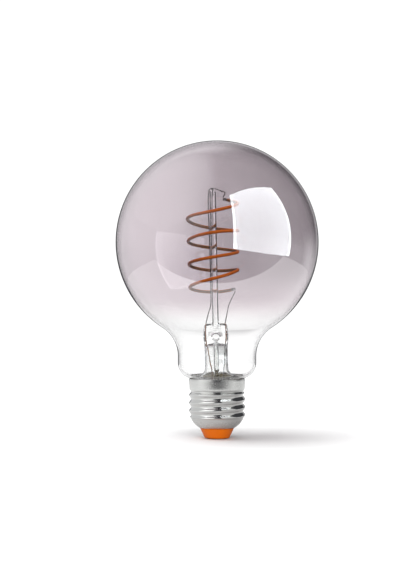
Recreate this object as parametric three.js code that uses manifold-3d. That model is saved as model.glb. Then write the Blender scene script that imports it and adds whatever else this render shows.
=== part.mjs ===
// A G95 globe light bulb with an E27 screw cap, standing on its end contact.
// Millimetres, +Z up. The origin is the middle of the end contact's flat face.
// A leaning glass mount carries a hand-wound LED filament inside a smoked glass globe,
// and the screw cap holds the driver board and its radio.

import * as THREE from 'three';
import { mergeVertices } from 'three/addons/utils/BufferGeometryUtils.js';
import Module from 'manifold-3d';

const wasm = await Module();
wasm.setup();

// Driving dimensions

const bulbHeight = 139;
const globeRadius = 47.5;
const glassWall = 0.8;
const gap = 0.3;

const neckRadius = 18.3;
const neckFillet = 15.7;
const shoulderRadius = 7.6;
const shoulderHeight = 35.3;
const shoulderEndAngle = -75;
const sealRadius = 12.2;
const neckEndHeight = 23.8;

const threadPitch = 3.629;
const threadRootRadius = 12.2;
const threadDepth = 0.95;
const threadLow = 9.3;
const threadHigh = 21.9;
const threadCrestHeight = 10.9;
const shellWall = 0.3;
const skirtRadius = 13.05;
const skirtHeight = 27.7;
const shellMouthRadius = 8;
const shellMouthHeight = 4.95;

const contactRadius = 4.75;
const contactThickness = 0.8;
const eyeletRadius = 1.4;
const insulatorFoot = 0.4;
const insulatorFootRadius = 5.8;
const insulatorTop = 7.2;

const mountLean = -1.27;
const mountPivotHeight = 23;
const stemRadius = 5.4;
const pressLow = 44.4;
const pressHigh = 53.4;
const pressHalfWidth = 5.85;
const pressThickness = 4.6;
const blowHoleHeight = 47.8;
const exhaustRadius = 1.2;
const exhaustBore = 0.6;
const exhaustTip = 17;
const rodRadius = 1.5;
const rodTop = 116.2;
const leadSpacing = 4.5;
const leadRadius = 0.25;

const coilCentre = -0.35;
const coilTopRadius = 12;
const coilLowRadius = 11.2;
const strandRadius = 0.75;
const coilStart = -0.57;
const coilEnd = 15.55;
const crimpTurn = 0.12;

// Heights of the hand-wound coil at each quarter turn, top to bottom, starting a quarter
// turn before the coil's right-hand side. The winding is uneven and flattens at its end.
const coilHeights = [
  114.6, 109.7, 104.9, 102.8, 99.6, 96.8, 95.1, 92.3, 90,
  86.9, 83.8, 81.5, 79, 78.4, 74, 70.6, 68.7, 70.2,
];

const boardFront = 2.5;
const boardThickness = 1;
const boardLow = 8.6;
const boardHigh = 21;
const boardHalfWidth = 9.3;
const boardBack = boardFront + boardThickness + gap;
const upperRow = 15.8;
const capacitorRadius = 3.15;
const capacitorHeight = 8;
const inductorRadius = 3;
const inductorWaist = 2.2;
const inductorHeight = 6;
const inductorFlange = 1;
const resistorRadius = 1.3;
const resistorLength = 7;
const rectifierSize = [4.7, 2.5, 4.1];
const chipSize = [4.9, 1.5, 3.9];
const radioSize = [8, 2, 5.8];
const mainsWireRadius = 0.28;

const globeSides = 48;
const capSides = 40;
const wireSides = 6;
const ringsPerPitch = 6;
const stepsPerTurn = 20;

// Materials

function finish(color, roughness, metalness, opacity = 1) {
  return new THREE.MeshStandardMaterial({
    color, roughness, metalness, opacity, transparent: opacity < 1,
  });
}

const smokedGlass = finish(0xb9aeb2, 0.05, 0, 0.35);
const clearGlass = finish(0xdde3e2, 0.05, 0, 0.4);
const nickelPlate = finish(0xc6c8c8, 0.22, 1);
const contactMetal = finish(0xb59a6a, 0.35, 1);
const leadNickel = finish(0x6f6a68, 0.35, 1);
const copperSleeve = finish(0x9a5a3a, 0.4, 1);
const phosphor = finish(0xc2611c, 0.5, 0);
const flexCircuit = finish(0x8a5a38, 0.5, 0);
const orangePlastic = finish(0xe26d12, 0.4, 0);
const cement = finish(0x8d8468, 0.9, 0);
const boardGreen = finish(0x2f6b45, 0.5, 0);
const partBlack = finish(0x222224, 0.5, 0);
const canAluminium = finish(0xa9adb3, 0.35, 1);
const ferrite = finish(0x3a3b3e, 0.7, 0);
const resistorBlue = finish(0x5b86a8, 0.5, 0);

// Geometry helpers

const radians = THREE.MathUtils.degToRad;
const point = (x, y, z) => new THREE.Vector3(x, y, z);

function signedVolume(positions, index) {
  const a = new THREE.Vector3();
  const b = new THREE.Vector3();
  const c = new THREE.Vector3();
  let volume = 0;
  for (let i = 0; i < index.length; i += 3) {
    a.fromBufferAttribute(positions, index[i]);
    b.fromBufferAttribute(positions, index[i + 1]);
    c.fromBufferAttribute(positions, index[i + 2]);
    volume += a.dot(b.cross(c)) / 6;
  }
  return volume;
}

// Shared vertices are merged, triangles that collapse on the axis go, and faces turn outward.
function closedSolid(geometry) {
  const bare = geometry.clone();
  bare.deleteAttribute('normal');
  bare.deleteAttribute('uv');
  const merged = mergeVertices(bare, 1e-4);
  const kept = [];
  const all = merged.index.array;
  for (let i = 0; i < all.length; i += 3) {
    const [p, q, r] = [all[i], all[i + 1], all[i + 2]];
    if (p !== q && q !== r && r !== p) {
      kept.push(p, q, r);
    }
  }
  if (signedVolume(merged.attributes.position, kept) < 0) {
    kept.reverse();
  }
  merged.setIndex(kept);
  return merged;
}

function toManifold(geometry) {
  const solid = closedSolid(geometry);
  return new wasm.Manifold(new wasm.Mesh({
    numProp: 3,
    vertProperties: new Float32Array(solid.attributes.position.array),
    triVerts: new Uint32Array(solid.index.array),
  }));
}

function fromManifold(solid) {
  const mesh = solid.getMesh();
  const geometry = new THREE.BufferGeometry();
  geometry.setAttribute('position', new THREE.BufferAttribute(mesh.vertProperties, 3));
  geometry.setIndex(new THREE.BufferAttribute(mesh.triVerts, 1));
  return geometry;
}

function cutAway(body, ...tools) {
  const remaining = tools.reduce((left, tool) => left.subtract(toManifold(tool)), toManifold(body));
  return fromManifold(remaining);
}

// Points of an arc in a lathe profile, as [radius, height] pairs, angles in degrees.
function arc(radius, centre, from, to, steps) {
  return Array.from({ length: steps + 1 }, (unused, i) => {
    const angle = radians(from + (to - from) * i / steps);
    return [centre[0] + radius * Math.cos(angle), centre[1] + radius * Math.sin(angle)];
  });
}

function turned(profile, sides) {
  const points = profile.map(([radius, height]) => new THREE.Vector2(Math.max(radius, 0), height));
  return closedSolid(new THREE.LatheGeometry(points, sides).rotateX(Math.PI / 2));
}

function ring(profile, sides) {
  return turned([...profile, profile[0]], sides);
}

function rod(radius, low, high, sides = 12) {
  return turned([[0, low], [radius, low], [radius, high], [0, high]], sides);
}

function block(width, depth, height, x, y, z) {
  return new THREE.BoxGeometry(width, depth, height).translate(x, y, z + height / 2);
}

function roundSection(radius, sides = wireSides) {
  const corners = Array.from({ length: sides }, (unused, i) => {
    const angle = 2 * Math.PI * i / sides;
    return new THREE.Vector2(radius * Math.cos(angle), radius * Math.sin(angle));
  });
  return new THREE.Shape(corners);
}

function sweep(section, path, steps) {
  return closedSolid(new THREE.ExtrudeGeometry(section, { extrudePath: path, steps }));
}

function wire(radius, points, stepsPerSpan = 3) {
  const path = new THREE.CatmullRomCurve3(points, false, 'centripetal');
  return sweep(roundSection(radius), path, stepsPerSpan * (points.length - 1));
}

// Glass globe: a sphere, a fillet into the neck and a shoulder into the cap

const globeCentre = bulbHeight - globeRadius;

// One side of the glass wall, from the neck's end to the pole, set in by the given distance.
function globeProfile(inset) {
  const reach = globeRadius + neckFillet;
  const across = neckRadius + neckFillet;
  const filletCentre = [across, globeCentre - Math.sqrt(reach ** 2 - across ** 2)];
  const contactAngle = THREE.MathUtils.radToDeg(Math.atan2(globeCentre - filletCentre[1], -across));
  const shoulderCentre = [neckRadius - shoulderRadius, shoulderHeight];
  const shoulder = arc(shoulderRadius - inset, shoulderCentre, shoulderEndAngle, 0, 5);
  const fillet = arc(neckFillet + inset, filletCentre, 180, contactAngle, 5);
  const sphere = arc(globeRadius - inset, [0, globeCentre], contactAngle - 180, 90, 13);
  const sealEnd = [[sealRadius - inset, neckEndHeight], [sealRadius - inset, shoulder[0][1] - 0.8]];
  return [...sealEnd, ...shoulder, ...fillet, ...sphere.slice(1)];
}

function glassGlobe() {
  return turned([...globeProfile(glassWall).reverse(), ...globeProfile(0)], globeSides);
}

// Screw cap

function blend(value, low, high) {
  return THREE.MathUtils.smoothstep(value, low, high);
}

// How far the thread stands out at an angle and height. It is right-handed and fades at its ends.
function threadRise(angle, height) {
  const phase = 2 * Math.PI * (height - threadCrestHeight) / threadPitch - angle;
  const runIn = blend(height, threadLow, threadLow + 0.9);
  const runOut = 1 - blend(height, threadHigh - 1.1, threadHigh);
  return threadDepth * runIn * runOut * (1 + Math.cos(phase)) / 2;
}

function screwShell() {
  const rings = Math.round(ringsPerPitch * (threadHigh - threadLow) / threadPitch);
  const threadZone = Array.from({ length: rings + 1 }, (unused, i) => {
    return [threadRootRadius, threadLow + (threadHigh - threadLow) * i / rings];
  });
  const mouth = [shellMouthRadius, shellMouthHeight];
  const cup = [mouth, [8.9, 5.45], [10.1, 6.35], [11, 7.3], [11.65, 8.25]];
  const skirt = [[12.5, 22.3], [12.78, 23], [12.9, 24.5], [skirtRadius, skirtHeight]];
  const outside = [...cup, ...threadZone, ...skirt];
  const slant = shellWall * 0.8;
  const inside = outside.map(([radius, height], i) => {
    return i < cup.length ? [radius - slant, height + slant] : [radius - shellWall, height];
  });
  inside[0] = [shellMouthRadius, shellMouthHeight + shellWall];
  inside[inside.length - 1] = [skirtRadius - shellWall, skirtHeight];
  const shell = ring([...outside, ...inside.reverse()], capSides);
  const positions = shell.attributes.position;
  for (let i = 0; i < positions.count; i++) {
    const [x, y, z] = [positions.getX(i), positions.getY(i), positions.getZ(i)];
    const radius = Math.hypot(x, y);
    const stretch = 1 + threadRise(Math.atan2(y, x), z) / radius;
    positions.setXYZ(i, x * stretch, y * stretch, z);
  }
  return shell;
}

function capInsulator() {
  return ring([
    [eyeletRadius + gap, contactThickness + gap],
    [contactRadius + gap, contactThickness + gap],
    [contactRadius + gap, insulatorFoot],
    [insulatorFootRadius, insulatorFoot],
    [shellMouthRadius - 0.1, shellMouthHeight - 0.1],
    [shellMouthRadius - gap, shellMouthHeight],
    [shellMouthRadius - gap, 5.9],
    [9.2, 6.5],
    [9.2, insulatorTop],
    [eyeletRadius + gap, insulatorTop],
  ], capSides);
}

// The contact is a flat button with an eyelet that takes the driver's wire from above.
function endContact() {
  const eyeletTop = insulatorTop - 0.6;
  return turned([
    [0, 0],
    [contactRadius - 0.15, 0],
    [contactRadius, 0.15],
    [contactRadius, contactThickness],
    [eyeletRadius, contactThickness],
    [eyeletRadius, eyeletTop],
    [eyeletRadius / 2, eyeletTop],
    [eyeletRadius / 2, 2],
    [0, 2],
  ], capSides);
}

// Cement fills the skirt around the glass neck and reaches in under the flare.
function basingCement() {
  return ring([
    [6.5, 22.4],
    [12, 22.4],
    [12.35, 23.2],
    [12.5, 24.6],
    [12.6, 27.2],
    [sealRadius + 0.12, 27.2],
    [sealRadius + 0.12, neckEndHeight - gap],
    [10.2, neckEndHeight - gap],
    [9, 25.6],
    [6.5, 25.6],
  ], capSides);
}

// Glass mount: flare, press, exhaust tube and support rod, fused in the real lamp

function stemFlare() {
  const outside = [[11.1, 27.2], [10.2, 27.9], [8.2, 28.6], [6.6, 29.7], [5.7, 31.2], [stemRadius, 33]];
  const top = pressLow - gap;
  const bore = stemRadius - glassWall;
  const inside = [[11, 26.4], [9.8, 27.1], [7.7, 27.8], [5.9, 29.1], [4.95, 31], [bore, 33]];
  return ring([
    ...outside,
    [stemRadius, top],
    [bore, top],
    ...inside.reverse(),
  ], 24);
}

function stemPress() {
  const middle = (pressLow + pressHigh) / 2;
  const outline = new THREE.Shape();
  outline.moveTo(-4.9, pressLow);
  outline.quadraticCurveTo(-pressHalfWidth, pressLow + 1, -pressHalfWidth, middle);
  outline.quadraticCurveTo(-pressHalfWidth, pressHigh, -3.6, pressHigh);
  outline.lineTo(3.6, pressHigh);
  outline.quadraticCurveTo(pressHalfWidth, pressHigh, pressHalfWidth, middle);
  outline.quadraticCurveTo(pressHalfWidth, pressLow + 1, 4.9, pressLow);
  outline.closePath();
  const blowHole = new THREE.Path();
  blowHole.absellipse(0, blowHoleHeight, 1.7, 1.4, 0, 2 * Math.PI);
  outline.holes.push(blowHole);
  const slab = new THREE.ExtrudeGeometry(outline, {
    depth: pressThickness - 1.6,
    bevelThickness: 0.8,
    bevelSize: 0.6,
    bevelOffset: -0.6,
    bevelSegments: 2,
    curveSegments: 6,
  });
  slab.translate(0, 0, -(pressThickness - 1.6) / 2);
  slab.rotateX(Math.PI / 2);
  const channel = rod(leadRadius + gap, pressLow - 1, pressHigh + 1, 8);
  const exhaustChannel = rod(exhaustBore, pressLow - 1, blowHoleHeight, 8);
  return cutAway(
    slab,
    channel.clone().translate(-leadSpacing, 0, 0),
    channel.clone().translate(leadSpacing, 0, 0),
    exhaustChannel,
  );
}

function exhaustTube() {
  const top = pressLow - gap;
  return turned([
    [0, exhaustTip],
    [exhaustRadius * 0.7, exhaustTip + 0.5],
    [exhaustRadius, exhaustTip + 1.6],
    [exhaustRadius, top],
    [exhaustBore, top],
    [exhaustBore, exhaustTip + 2.6],
    [0, exhaustTip + 2],
  ], 12);
}

function supportRod() {
  const anchorBore = 0.5;
  return turned([
    [0, pressHigh + gap],
    [rodRadius, pressHigh + gap],
    [rodRadius, rodTop - 0.4],
    [rodRadius - 0.4, rodTop],
    [anchorBore, rodTop],
    [anchorBore, rodTop - 3],
    [0, rodTop - 3],
  ], 12);
}

// LED filament: a carrier strip on the coil's inner side, with the phosphor outside it

class CoilCurve extends THREE.Curve {
  constructor(from, to) {
    super();
    this.from = from;
    this.to = to;
    this.heights = new THREE.SplineCurve(coilHeights.map((height, i) => new THREE.Vector2(i, height)));
  }

  // Quarter turns from the coil's right-hand side; it winds clockwise seen from above, going down.
  quarterAt(t) {
    return THREE.MathUtils.lerp(this.from, this.to, t);
  }

  getPoint(t) {
    const quarter = this.quarterAt(t);
    const angle = -quarter * Math.PI / 2;
    const along = (quarter + 1) / (coilHeights.length - 1);
    const radius = THREE.MathUtils.lerp(coilTopRadius, coilLowRadius, along);
    const height = this.heights.getPoint(along).y;
    return point(coilCentre + radius * Math.cos(angle), radius * Math.sin(angle), height);
  }

  // The section's first axis always points away from the coil's own axis.
  computeFrenetFrames(steps) {
    const tangents = [];
    const normals = [];
    const binormals = [];
    for (let i = 0; i <= steps; i++) {
      const t = this.getUtoTmapping(i / steps);
      const angle = -this.quarterAt(t) * Math.PI / 2;
      const tangent = this.getTangent(t);
      const outward = point(Math.cos(angle), Math.sin(angle), 0);
      const normal = outward.addScaledVector(tangent, -outward.dot(tangent)).normalize();
      tangents.push(tangent);
      normals.push(normal);
      binormals.push(point(0, 0, 0).crossVectors(tangent, normal));
    }
    return { tangents, normals, binormals };
  }
}

const coil = new CoilCurve(coilStart, coilEnd);
const coilSteps = Math.round(stepsPerTurn * (coilEnd - coilStart) / 4);

function filamentPhosphor() {
  const outline = new THREE.Shape();
  const start = radians(125);
  outline.absarc(0, 0, strandRadius, -start, start, false);
  return sweep(new THREE.Shape(outline.getSpacedPoints(7)), coil, coilSteps);
}

function filamentCarrier() {
  const outer = -0.5;
  const inner = -0.68;
  const half = 0.5;
  const strip = new THREE.Shape([
    new THREE.Vector2(inner, -half),
    new THREE.Vector2(outer, -half),
    new THREE.Vector2(outer, half),
    new THREE.Vector2(inner, half),
  ]);
  return sweep(strip, coil, coilSteps);
}

function crimp(from, to) {
  const across = 0.6;
  const high = 0.65;
  const sleeve = new THREE.Shape([
    new THREE.Vector2(-across, -high),
    new THREE.Vector2(across, -high),
    new THREE.Vector2(across, high),
    new THREE.Vector2(-across, high),
  ]);
  return sweep(sleeve, new CoilCurve(from, to), 2);
}

const crimpGap = 0.008;
const topCrimp = new CoilCurve(coilStart - crimpGap, coilStart - crimpTurn).getPoint(1);
const lowCrimp = new CoilCurve(coilEnd + crimpGap, coilEnd + crimpTurn).getPoint(1);

// Hooks run from the back of the rod and hold the coil's strands from below.
function strandHook(quarter) {
  const strand = new CoilCurve(quarter, quarter + 1).getPoint(0);
  const below = strand.z - strandRadius - 0.35;
  const side = 0.7;
  return wire(0.2, [
    point(0, rodRadius + gap, below),
    point(side / 2, strand.y / 2, below),
    point(side, strand.y - 0.7, below),
    point(side, strand.y + 0.7, below + 0.15),
    point(side, strand.y + 1.15, below + 1),
  ], 2);
}

// Lead wires, each an inner nickel wire, a seal wire in the press and an outer copper wire

function innerLeadLeft() {
  const beside = -(rodRadius + leadRadius + 0.15);
  const over = rodTop + 0.7;
  return wire(leadRadius, [
    point(-leadSpacing, 0, pressHigh + gap),
    point(-3.4, 0, 57.8),
    point(beside - 0.2, 0, 62),
    point(beside, 0, 65),
    point(beside, 0, 90),
    point(beside, 0, rodTop - 1),
    point(-1.2, 0.2, over),
    point(1, 0.8, over + 0.2),
    point(4.2, 3.4, over - 0.6),
    point(6, 6.6, 115.9),
    point(topCrimp.x - 0.2, topCrimp.y - 0.4, topCrimp.z + 0.95),
  ]);
}

function innerLeadRight() {
  return wire(leadRadius, [
    point(leadSpacing, 0, pressHigh + gap),
    point(5.1, 0.8, 56.2),
    point(6.6, 3.4, 62.3),
    point(lowCrimp.x + 0.1, lowCrimp.y - 0.8, lowCrimp.z - 1.6),
    point(lowCrimp.x + 0.2, lowCrimp.y, lowCrimp.z - 0.95),
  ]);
}

function sealWire(side) {
  return rod(leadRadius, pressLow + gap, pressHigh - gap, 8).translate(side * leadSpacing, 0, 0);
}

function outerLeadLeft() {
  return wire(leadRadius, [
    point(-4.05, 0, pressLow - gap),
    point(-3.2, 0, 37),
    point(-2.2, 0, 30.5),
    point(-2.6, 0.8, 24),
    point(-3.2, boardFront - 0.6, boardHigh - 1),
  ]);
}

function outerLeadRight() {
  return wire(leadRadius, [
    point(4.05, 0, pressLow - gap),
    point(3.75, 0, 37),
    point(3.35, 0, 30.5),
    point(3.2, 0.8, 24),
    point(3.4, boardFront - 0.6, boardHigh - 1),
  ]);
}

// Driver inside the cap

function driverBoard() {
  const middle = boardFront + boardThickness / 2;
  return block(2 * boardHalfWidth, boardThickness, boardHigh - boardLow, 0, middle, boardLow);
}

function canCapacitor() {
  return rod(capacitorRadius, boardLow, boardLow + capacitorHeight, 16).translate(-5, -1.2, 0);
}

function drumInductor() {
  const lowFlange = boardLow + inductorFlange;
  const high = boardLow + inductorHeight;
  const highFlange = high - inductorFlange;
  return turned([
    [0, boardLow],
    [inductorRadius, boardLow],
    [inductorRadius, lowFlange],
    [inductorWaist, lowFlange + 0.4],
    [inductorWaist, highFlange - 0.4],
    [inductorRadius, highFlange],
    [inductorRadius, high],
    [0, high],
  ], 16).translate(4.7, -1.1, 0);
}

function fusibleResistor() {
  const low = boardLow + gap;
  return rod(resistorRadius, low, low + resistorLength).translate(6.6, 5.4, 0);
}

// A part on the back of the board, standing clear of it.
function backPart([width, depth, height], x, low) {
  return block(width, depth, height, x, boardBack + depth / 2, low);
}

function centreContactWire() {
  return wire(mainsWireRadius, [
    point(6.6, 5.4, boardLow),
    point(5.2, 4.4, 7.75),
    point(2.2, 1.8, 7.7),
    point(0.4, 0.3, 7.5),
    point(0, 0, 6.4),
    point(0, 0, 3),
  ]);
}

function shellContactWire() {
  return wire(mainsWireRadius, [
    point(8.4, boardFront - 0.6, 17.6),
    point(9.4, 1.4, 19.4),
    point(10.6, 0.8, 20.6),
    point(11.5, 0.6, 21.4),
  ]);
}

// Assembly

const bulb = new THREE.Group();

function add(parent, name, geometry, material) {
  const mesh = new THREE.Mesh(geometry, material);
  mesh.name = name;
  parent.add(mesh);
}

// The mount leans about the flare's rim. Its parts keep the cap's heights.
const mount = new THREE.Group();
mount.position.z = mountPivotHeight;
mount.rotation.y = radians(mountLean);
const stem = new THREE.Group();
stem.position.z = -mountPivotHeight;
mount.add(stem);
bulb.add(mount);

add(bulb, 'glass_globe', glassGlobe(), smokedGlass);
add(bulb, 'screw_shell', screwShell(), nickelPlate);
add(bulb, 'cap_insulator', capInsulator(), orangePlastic);
add(bulb, 'end_contact', endContact(), contactMetal);
add(bulb, 'basing_cement', basingCement(), cement);

add(stem, 'stem_flare', stemFlare(), clearGlass);
add(stem, 'stem_press', stemPress(), clearGlass);
add(stem, 'exhaust_tube', exhaustTube(), clearGlass);
add(stem, 'support_rod', supportRod(), clearGlass);
add(stem, 'rod_top_anchor', rod(0.2, rodTop - 2.7, rodTop + 0.35, 8), leadNickel);

add(stem, 'inner_lead_left', innerLeadLeft(), leadNickel);
add(stem, 'inner_lead_right', innerLeadRight(), leadNickel);
add(stem, 'seal_wire_left', sealWire(-1), copperSleeve);
add(stem, 'seal_wire_right', sealWire(1), copperSleeve);
add(stem, 'outer_lead_left', outerLeadLeft(), copperSleeve);
add(stem, 'outer_lead_right', outerLeadRight(), copperSleeve);

add(stem, 'filament_phosphor', filamentPhosphor(), phosphor);
add(stem, 'filament_carrier', filamentCarrier(), flexCircuit);
add(stem, 'filament_crimp_top', crimp(coilStart - crimpGap, coilStart - crimpTurn), leadNickel);
add(stem, 'filament_crimp_bottom', crimp(coilEnd + crimpGap, coilEnd + crimpTurn), leadNickel);
['upper', 'middle', 'lower'].forEach((place, i) => {
  add(stem, `filament_hook_${place}`, strandHook(3 + 4 * i), leadNickel);
});

add(bulb, 'driver_board', driverBoard(), boardGreen);
add(bulb, 'bulk_capacitor', canCapacitor(), canAluminium);
add(bulb, 'filter_inductor', drumInductor(), ferrite);
add(bulb, 'bridge_rectifier', backPart(rectifierSize, -5.6, upperRow), partBlack);
add(bulb, 'driver_chip', backPart(chipSize, 0.6, upperRow), partBlack);
add(bulb, 'radio_module', backPart(radioSize, -2.4, boardLow + gap), canAluminium);
add(bulb, 'fusible_resistor', fusibleResistor(), resistorBlue);
add(bulb, 'centre_contact_wire', centreContactWire(), copperSleeve);
add(bulb, 'shell_contact_wire', shellContactWire(), copperSleeve);

export default bulb;
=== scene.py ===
"""The looks of a smoked globe filament bulb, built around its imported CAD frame.

Sizes are in millimetres, as in the CAD source, and become metres when a mesh is made.
The mount (stem, rod, filament and leads) leans a little inside the upright globe.
"""

import math

import bmesh
import bpy
from mathutils import Matrix, Vector


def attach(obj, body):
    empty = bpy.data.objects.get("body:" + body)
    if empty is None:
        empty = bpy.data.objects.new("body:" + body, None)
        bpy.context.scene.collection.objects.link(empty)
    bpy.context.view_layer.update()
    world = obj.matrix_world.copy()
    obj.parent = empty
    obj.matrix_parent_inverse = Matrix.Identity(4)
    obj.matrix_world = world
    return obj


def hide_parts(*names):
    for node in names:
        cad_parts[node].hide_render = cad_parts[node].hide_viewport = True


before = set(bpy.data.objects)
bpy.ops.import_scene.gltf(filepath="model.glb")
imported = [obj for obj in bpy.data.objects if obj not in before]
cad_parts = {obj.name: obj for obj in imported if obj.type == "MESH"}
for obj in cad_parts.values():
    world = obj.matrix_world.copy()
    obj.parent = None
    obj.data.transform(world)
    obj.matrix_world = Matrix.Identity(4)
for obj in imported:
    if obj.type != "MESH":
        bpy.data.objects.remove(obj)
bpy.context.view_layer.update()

MM = 0.001
TURN = 2 * math.pi

# ---------------------------------------------------------------- driving sizes, mm

BULB_HEIGHT = 139
GLOBE_RADIUS = 47.5
GLOBE_CENTRE = BULB_HEIGHT - GLOBE_RADIUS
GLASS_WALL = 0.8
NECK_RADIUS = 18.3
NECK_FILLET = 15.7
SHOULDER_RADIUS = 7.6
SHOULDER_HEIGHT = 35.3
SHOULDER_END = -75
SEAL_RADIUS = 12.2
NECK_END = 23.8

THREAD_PITCH = 3.629
THREAD_ROOT = 12.2
THREAD_DEPTH = 0.95
THREAD_LOW = 9.3
THREAD_HIGH = 21.9
THREAD_CREST = 10.9
THREAD_RUN_IN = 0.9
THREAD_RUN_OUT = 1.1
SHELL_WALL = 0.3
SKIRT_RADIUS = 13.05
SKIRT_HEIGHT = 27.7

LEAN = math.radians(-1.27)
LEAN_HEIGHT = 23
PRESS_LOW = 44.4
PRESS_HIGH = 53.4
BLOW_HOLE = 47.8
BLOW_HOLE_SQUASH = 0.76
TONG_MARK = 51.2
TONG_MARK_DEPTH = 2.62
ROD_RADIUS = 1.5
ROD_TOP = 116.2
LEAD_RADIUS = 0.25
LEAD_SPACING = 4.5
HOOK_RADIUS = 0.2
ANCHOR_RADIUS = 0.19

COIL_CENTRE = -0.35
COIL_TOP_RADIUS = 12
COIL_LOW_RADIUS = 11.2
STRAND_RADIUS = 0.75

# Places along the coil are in quarter turns from its right-hand side, going down
COIL_START = -0.57
COIL_END = 15.55
CRIMP_GAP = 0.008
CRIMP_END = 0.12
FIRST_REAR_STRAND = 3
QUARTERS_IN_TURN = 4
COIL_HEIGHTS = [
    114.6, 109.7, 104.9, 102.8, 99.6, 96.8, 95.1, 92.3, 90,
    86.9, 83.8, 81.5, 79, 78.4, 74, 70.6, 68.7, 70.2,
]

# Where the smoke coating starts and where it is full, up the globe, and how far a noise
# that runs from 0 to 1 would move them
SMOKE_CLEAR = 51
SMOKE_FULL = 66
SMOKE_WANDER = 4

# ---------------------------------------------------------------- how fine the meshes are

# Sides are round an axis, steps along a path, and angles in degrees
FINE_SIDES = 160
CAP_SIDES = 128
PLAIN_SIDES = 96
LOFT_SIDES = 72
WIRE_SIDES = 12
ARC_STEPS = 20
SPHERE_STEPS = 72
THREAD_STEPS = 110
COIL_STEPS = 400
CRIMP_STEPS = 4
SHARP_ANGLE = 38
STEM_SHARP_ANGLE = 45

# ---------------------------------------------------------------- shapes

LEANING = (
    Matrix.Translation((0, 0, LEAN_HEIGHT))
    @ Matrix.Rotation(LEAN, 4, "Y")
    @ Matrix.Translation((0, 0, -LEAN_HEIGHT))
)


def arc(radius, centre, start, end, steps):
    """Points of an arc in a lathe profile, angles in degrees."""
    angles = [math.radians(start + (end - start) * i / steps) for i in range(steps + 1)]
    return [
        (centre[0] + radius * math.cos(a), centre[1] + radius * math.sin(a))
        for a in angles
    ]


def lathe(profile, sides=PLAIN_SIDES, loop=False, rise=None):
    """Vertices and faces of a (radius, height) profile turned round +Z.

    loop joins its end to its start, and rise(angle, height) pushes a vertex outward.
    """
    vertices, rings = [], []
    for radius, height in profile:
        if radius < 1e-6:
            rings.append([len(vertices)] * sides)
            vertices.append((0, 0, height))
            continue
        rings.append(range(len(vertices), len(vertices) + sides))
        for i in range(sides):
            angle = TURN * i / sides
            out = radius + (rise(angle, height) if rise else 0)
            vertices.append((out * math.cos(angle), out * math.sin(angle), height))
    following = rings[1:] + rings[:1] if loop else rings[1:]
    faces = []
    for low, high in zip(rings, following):
        for i in range(sides):
            j = (i + 1) % sides
            corners = list(dict.fromkeys([low[i], low[j], high[j], high[i]]))
            if len(corners) > 2:
                faces.append(corners)
    return vertices, faces


def sweep(points, frames, section):
    """Vertices and faces of a closed section carried along points, with flat ends.

    A frame is the two directions that the section's axes follow at a point.
    """
    count = len(section)
    vertices = [
        p + u * across + v * along
        for p, (u, v) in zip(points, frames)
        for across, along in section
    ]
    faces = [
        [
            ring * count + i,
            ring * count + (i + 1) % count,
            (ring + 1) * count + (i + 1) % count,
            (ring + 1) * count + i,
        ]
        for ring in range(len(points) - 1)
        for i in range(count)
    ]
    last = (len(points) - 1) * count
    return vertices, faces + [list(range(count)), list(range(last, last + count))]


def tangents(points):
    """The direction of travel at each point of a path."""
    ends = [points[0], *points, points[-1]]
    return [(after - before).normalized() for before, after in zip(ends, ends[2:])]


def carried_frames(points):
    """Frames that turn as little as they can along a path."""
    frames, across = [], None
    for along in tangents(points):
        if across is None:
            across = along.orthogonal()
        across = (across - along * across.dot(along)).normalized()
        frames.append((across, along.cross(across)))
    return frames


def round_section(radius, sides):
    """The points of a circle, for a sweep."""
    return [
        (radius * math.cos(TURN * i / sides), radius * math.sin(TURN * i / sides))
        for i in range(sides)
    ]


def spline(points, steps=8):
    """A centripetal Catmull-Rom curve through points, steps to a span."""
    knots = [Vector(p) for p in points]
    ends = [2 * knots[0] - knots[1], *knots, 2 * knots[-1] - knots[-2]]
    curve = []
    for p0, p1, p2, p3 in zip(ends, ends[1:], ends[2:], ends[3:]):
        d0, d1, d2 = ((b - a).length ** 0.5 for a, b in ((p0, p1), (p1, p2), (p2, p3)))
        m1 = ((p1 - p0) / d0 - (p2 - p0) / (d0 + d1) + (p2 - p1) / d1) * d1
        m2 = ((p2 - p1) / d1 - (p3 - p1) / (d1 + d2) + (p3 - p2) / d2) * d1
        for i in range(steps):
            t = i / steps
            curve.append(
                p1 * (2 * t**3 - 3 * t**2 + 1)
                + m1 * (t**3 - 2 * t**2 + t)
                + p2 * (3 * t**2 - 2 * t**3)
                + m2 * (t**3 - t**2)
            )
    return [*curve, knots[-1]]


def wire(radius, points, sides=WIRE_SIDES):
    """A round wire bent through points."""
    path = spline(points)
    return sweep(path, carried_frames(path), round_section(radius, sides))


def mesh_of(name, shape, leaning=False):
    """A mesh in metres, its faces turned outward, smooth apart from its sharp edges."""
    mesh = bpy.data.meshes.new(name)
    mesh.from_pydata([tuple(v) for v in shape[0]], [], shape[1])
    if leaning:
        mesh.transform(LEANING)
    mesh.transform(Matrix.Scale(MM, 4))
    edit = bmesh.new()
    edit.from_mesh(mesh)
    bmesh.ops.recalc_face_normals(edit, faces=edit.faces)
    edit.to_mesh(mesh)
    edit.free()
    mesh.shade_smooth()
    mesh.set_sharp_from_angle(angle=math.radians(SHARP_ANGLE))
    return mesh


def linked(name, data):
    """An object in the scene, from a mesh, a light or a camera."""
    made = bpy.data.objects.new(name, data)
    bpy.context.scene.collection.objects.link(made)
    return made


def piece(name, shape, material, nodes, leaning=False):
    """A piece of the bulb that stands for CAD nodes and rides on the bulb's one body."""
    made = linked(name, mesh_of(name, shape, leaning))
    made.data.materials.append(material)
    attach(made, "root")
    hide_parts(*nodes)
    return made


# ---------------------------------------------------------------- material nodes

# Most of a noise's values lie between the first two, and blotches change between the others
NOISE_LOW = 0.3
NOISE_HIGH = 0.7
BLOTCH_LOW = 0.35
BLOTCH_HIGH = 0.65

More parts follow.
